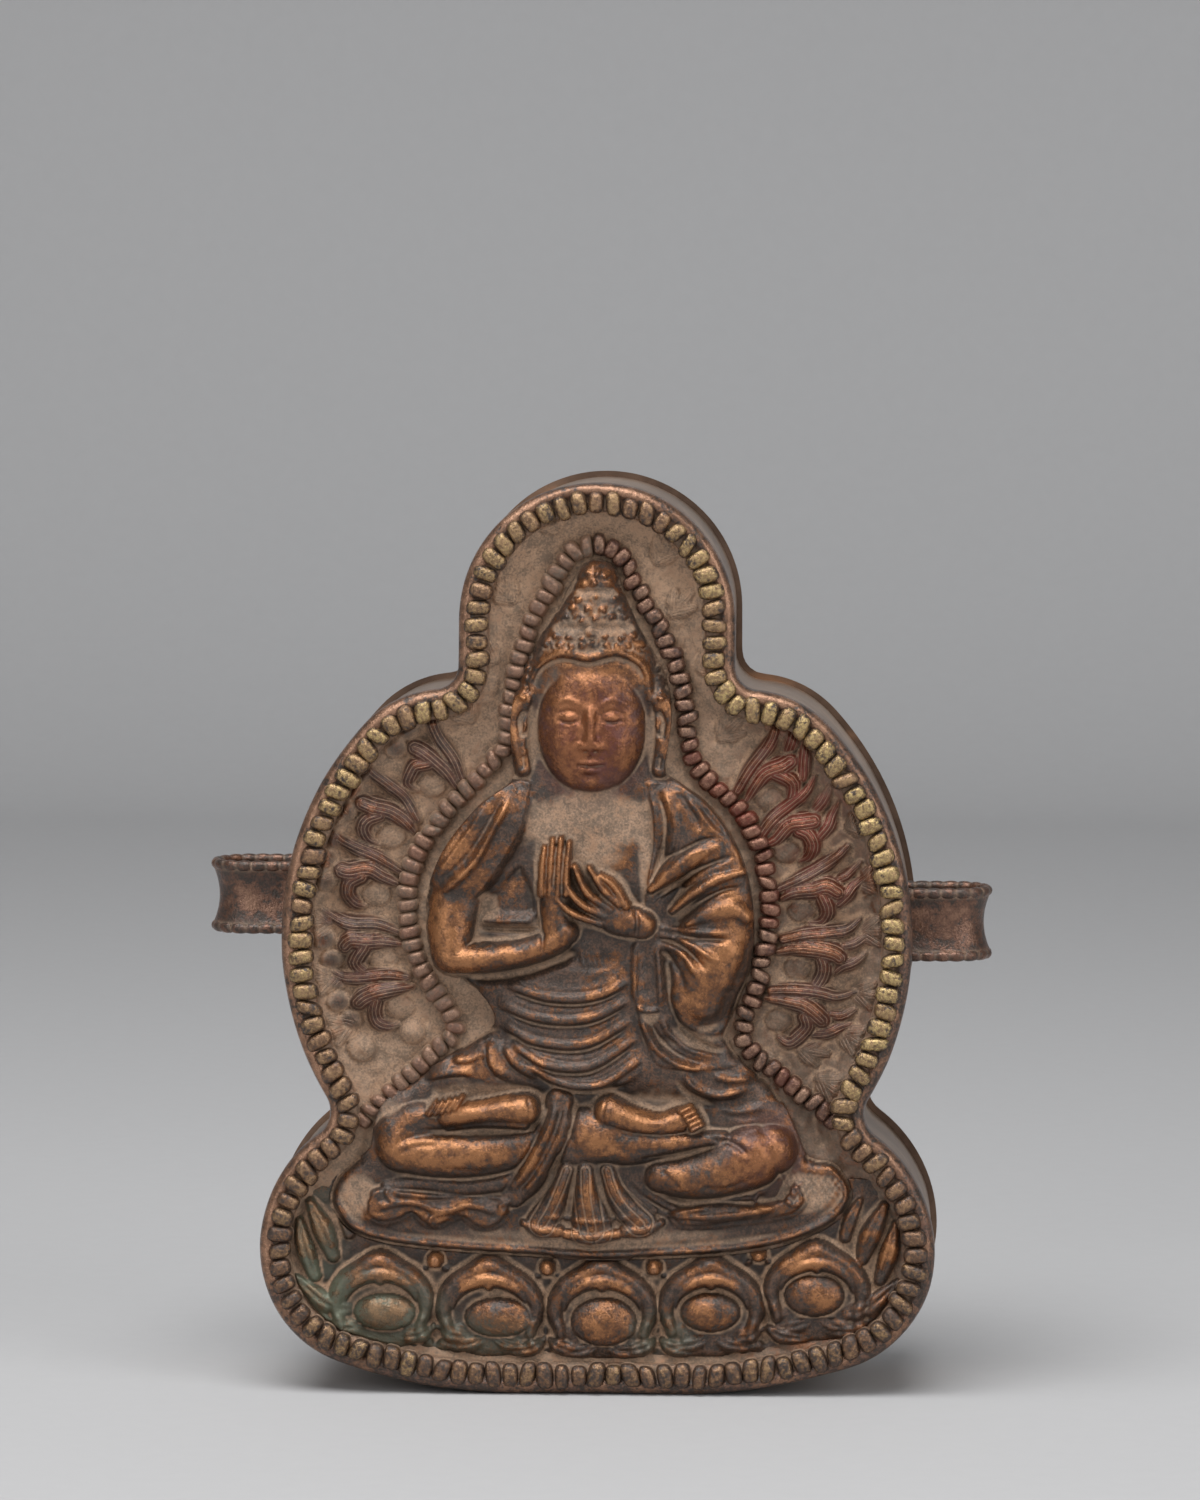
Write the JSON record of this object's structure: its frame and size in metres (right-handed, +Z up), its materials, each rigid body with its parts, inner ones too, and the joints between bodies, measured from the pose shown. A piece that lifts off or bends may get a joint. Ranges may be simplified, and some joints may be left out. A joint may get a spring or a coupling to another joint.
{
  "type": "ghau amulet box",
  "caption": "Shrine-shaped copper amulet box with a beaded rim, an embossed seated figure on a lotus throne, side strap lugs and a plug-in back cover.",
  "frame": {"origin": "middle of the whole box's bounding box, at the level of the flat base it stands on", "axes": "+Z up the box, +X to the viewer's right, the embossed face looks along -Y and the back cover pulls off along +Y"},
  "size_m": [0.085, 0.0281, 0.0986],
  "materials": {
    "case_copper": "smooth copper sheet with a grey-brown patina",
    "rim_copper": "handled copper edge, worn bright along its crest",
    "bead_gilt": "worn gilding over dark copper",
    "aureole_copper": "embossed copper, dusty in the hollows",
    "halo_copper": "dark copper beads with dust between them",
    "relief_copper": "embossed copper, dark patina worn through to orange metal on the high places",
    "throne_copper": "embossed copper with dark and green patina",
    "lug_copper": "copper strip worn by a cord",
    "cover_copper": "copper sheet with a dark brown patina"
  },
  "bodies": {
    "case": {"case_wall": "case_copper", "front_rim": "rim_copper", "rim_beading": "bead_gilt", "aureole_plate": "aureole_copper", "halo_beading": "halo_copper", "figure": "relief_copper", "lotus_throne": "throne_copper", "left_lug": "lug_copper", "left_lug_upper_wire": "lug_copper", "left_lug_lower_wire": "lug_copper", "right_lug": "lug_copper", "right_lug_upper_wire": "lug_copper", "right_lug_lower_wire": "lug_copper"},
    "back_cover": {"back_plate": "cover_copper", "cover_wall": "cover_copper"}
  },
  "joints": [
    {"name": "back_cover_slide", "type": "slide", "parent": "case", "child": "back_cover", "axis": [0, 1, 0], "range_m": [0, 0.03]}
  ]
}
